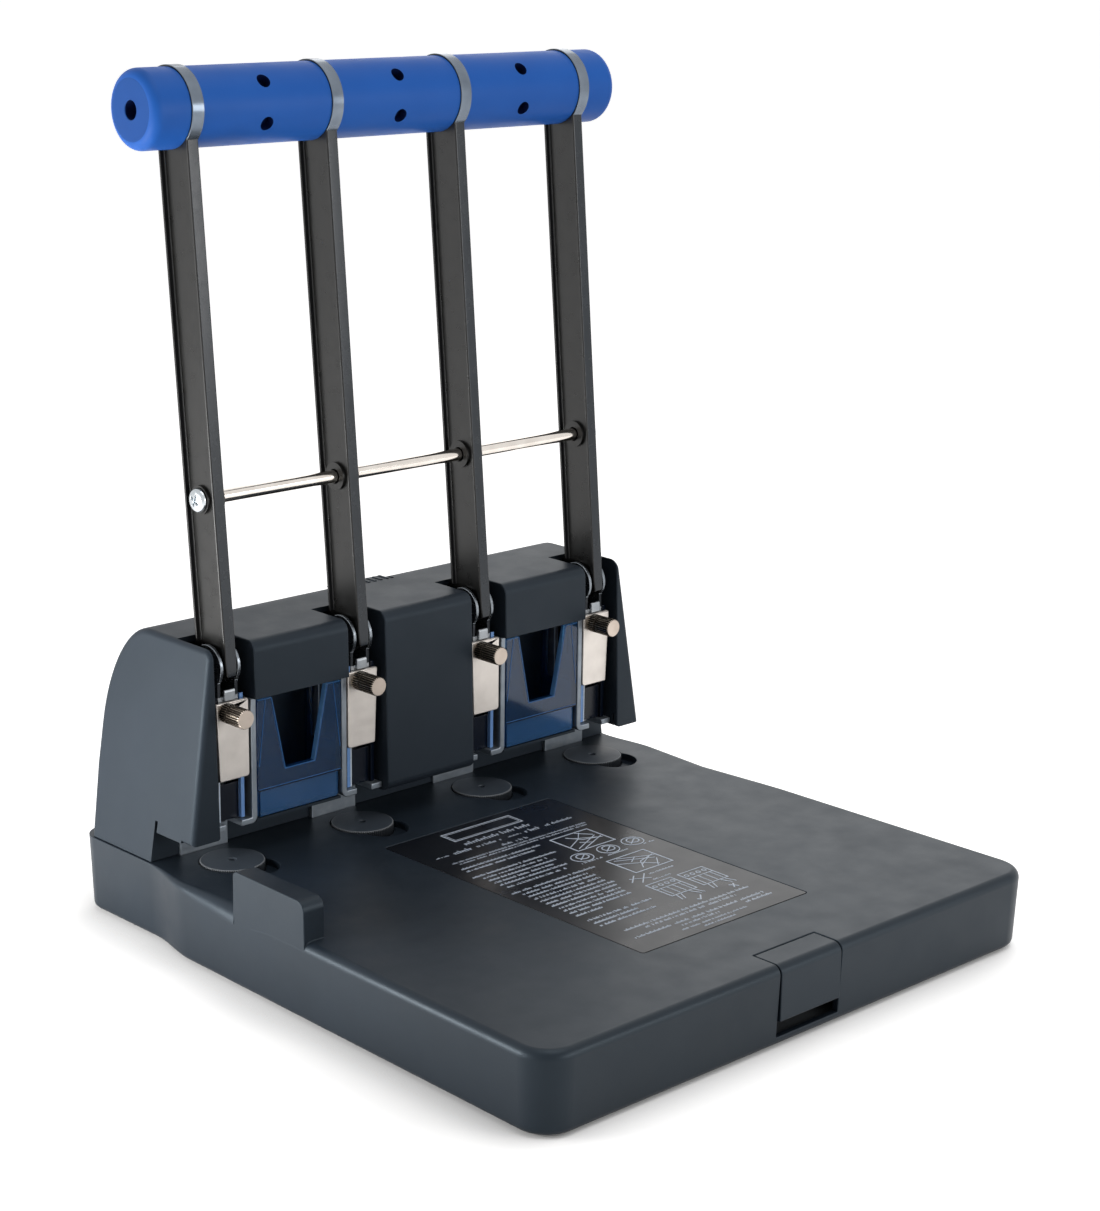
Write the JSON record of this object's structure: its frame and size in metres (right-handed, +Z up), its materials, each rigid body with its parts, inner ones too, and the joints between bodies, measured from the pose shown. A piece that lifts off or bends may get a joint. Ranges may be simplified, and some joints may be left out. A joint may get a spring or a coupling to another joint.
{
  "type": "lever hole punch",
  "caption": "Bench lever punch for stacked paper: flat table with stop wall and cutting discs, hooded punch units, upright lever frame with a round grip.",
  "frame": {"origin": "middle of the box at the plane of the feet", "axes": "+X to the right along the hole row, +Y towards the rear, +Z up"},
  "size_m": [0.322, 0.342, 0.4095],
  "materials": {
    "moulding": "fine matt texture",
    "cover_moulding": "fine matt texture",
    "plate_steel": "plain",
    "rubber": "matt",
    "panel": "satin",
    "zinc": "zinc plated",
    "shaft_steel": "ground",
    "lever_paint": "satin black",
    "grip_blue": "satin",
    "polished": "polished",
    "nickel": "nickel plated",
    "knurled": "knurled nickel",
    "dark_steel": "hardened",
    "disc_plastic": "matt",
    "guide_blue": "translucent",
    "bin_blue": "transparent",
    "spring_steel": "bright"
  },
  "bodies": {
    "body": {"base_moulding": "moulding", "bottom_plate": "plate_steel", "foot_front_left": "rubber", "foot_front_right": "rubber", "foot_back_left": "rubber", "foot_back_right": "rubber", "label_panel": "panel", "top_cover": "cover_moulding", "pivot_shaft": "shaft_steel", "frame_1": "zinc", "frame_2": "zinc", "frame_3": "zinc", "frame_4": "zinc", "slide_guide_1": "guide_blue", "slide_guide_2": "guide_blue", "slide_guide_3": "guide_blue", "slide_guide_4": "guide_blue", "return_spring_1": "spring_steel", "return_spring_2": "spring_steel", "return_spring_3": "spring_steel", "return_spring_4": "spring_steel"},
    "lever": {"lever_arm_1": "lever_paint", "lever_arm_2": "lever_paint", "lever_arm_3": "lever_paint", "lever_arm_4": "lever_paint", "blue_grip": "grip_blue", "tie_rod": "polished", "rod_screw_left": "polished", "rod_screw_right": "polished"},
    "punch_unit_1": {"carrier_1": "dark_steel", "yoke_1": "zinc", "clamp_plate_1": "nickel", "punch_1": "dark_steel"},
    "thumb_1": {"thumb_screw_1": "knurled"},
    "disc_1": {"cutting_disc_1": "disc_plastic"},
    "punch_unit_2": {"carrier_2": "dark_steel", "yoke_2": "zinc", "clamp_plate_2": "nickel", "punch_2": "dark_steel"},
    "thumb_2": {"thumb_screw_2": "knurled"},
    "disc_2": {"cutting_disc_2": "disc_plastic"},
    "punch_unit_3": {"carrier_3": "dark_steel", "yoke_3": "zinc", "clamp_plate_3": "nickel", "punch_3": "dark_steel"},
    "thumb_3": {"thumb_screw_3": "knurled"},
    "disc_3": {"cutting_disc_3": "disc_plastic"},
    "punch_unit_4": {"carrier_4": "dark_steel", "yoke_4": "zinc", "clamp_plate_4": "nickel", "punch_4": "dark_steel"},
    "thumb_4": {"thumb_screw_4": "knurled"},
    "disc_4": {"cutting_disc_4": "disc_plastic"},
    "bin_left": {"chip_bin_left": "bin_blue"},
    "bin_right": {"chip_bin_right": "bin_blue"},
    "drawer": {"front_drawer": "moulding"}
  },
  "joints": [
    {"name": "lever_swing", "type": "hinge", "parent": "body", "child": "lever", "pos_m": [0, 0.11229, 0.12645], "axis": [1, 0, 0], "range_deg": [0, 60], "stiffness_Nm_per_rad": 2.2, "springref_deg": -28.65},
    {"name": "punch_stroke_1", "type": "slide", "parent": "body", "child": "punch_unit_1", "axis": [0, 0, -1], "range_m": [0, 0.0165], "deforming": ["return_spring_1"]},
    {"name": "thumb_turn_1", "type": "hinge", "parent": "punch_unit_1", "child": "thumb_1", "pos_m": [-0.1236, 0.079, 0.1144], "axis": [0, -1, 0], "continuous": true},
    {"name": "disc_turn_1", "type": "hinge", "parent": "body", "child": "disc_1", "pos_m": [-0.12, 0.089, 0.0392], "axis": [0, 0, 1], "continuous": true},
    {"name": "punch_stroke_2", "type": "slide", "parent": "body", "child": "punch_unit_2", "axis": [0, 0, -1], "range_m": [0, 0.0165], "deforming": ["return_spring_2"]},
    {"name": "thumb_turn_2", "type": "hinge", "parent": "punch_unit_2", "child": "thumb_2", "pos_m": [-0.0436, 0.079, 0.1144], "axis": [0, -1, 0], "continuous": true},
    {"name": "disc_turn_2", "type": "hinge", "parent": "body", "child": "disc_2", "pos_m": [-0.04, 0.089, 0.0392], "axis": [0, 0, 1], "continuous": true},
    {"name": "punch_stroke_3", "type": "slide", "parent": "body", "child": "punch_unit_3", "axis": [0, 0, -1], "range_m": [0, 0.0165], "deforming": ["return_spring_3"]},
    {"name": "thumb_turn_3", "type": "hinge", "parent": "punch_unit_3", "child": "thumb_3", "pos_m": [0.0364, 0.079, 0.1144], "axis": [0, -1, 0], "continuous": true},
    {"name": "disc_turn_3", "type": "hinge", "parent": "body", "child": "disc_3", "pos_m": [0.04, 0.089, 0.0392], "axis": [0, 0, 1], "continuous": true},
    {"name": "punch_stroke_4", "type": "slide", "parent": "body", "child": "punch_unit_4", "axis": [0, 0, -1], "range_m": [0, 0.0165], "deforming": ["return_spring_4"]},
    {"name": "thumb_turn_4", "type": "hinge", "parent": "punch_unit_4", "child": "thumb_4", "pos_m": [0.1164, 0.079, 0.1144], "axis": [0, -1, 0], "continuous": true},
    {"name": "disc_turn_4", "type": "hinge", "parent": "body", "child": "disc_4", "pos_m": [0.12, 0.089, 0.0392], "axis": [0, 0, 1], "continuous": true},
    {"name": "bin_slide_left", "type": "slide", "parent": "body", "child": "bin_left", "axis": [0, -1, 0], "range_m": [0, 0.07]},
    {"name": "bin_slide_right", "type": "slide", "parent": "body", "child": "bin_right", "axis": [0, -1, 0], "range_m": [0, 0.07]},
    {"name": "drawer_slide", "type": "slide", "parent": "body", "child": "drawer", "axis": [0, -1, 0], "range_m": [0, 0.07]}
  ],
  "couplings": [
    {"joint": "punch_stroke_1", "follows": "lever_swing", "m_per_rad": 0.015755},
    {"joint": "punch_stroke_2", "follows": "lever_swing", "m_per_rad": 0.015755},
    {"joint": "punch_stroke_3", "follows": "lever_swing", "m_per_rad": 0.015755},
    {"joint": "punch_stroke_4", "follows": "lever_swing", "m_per_rad": 0.015755}
  ]
}
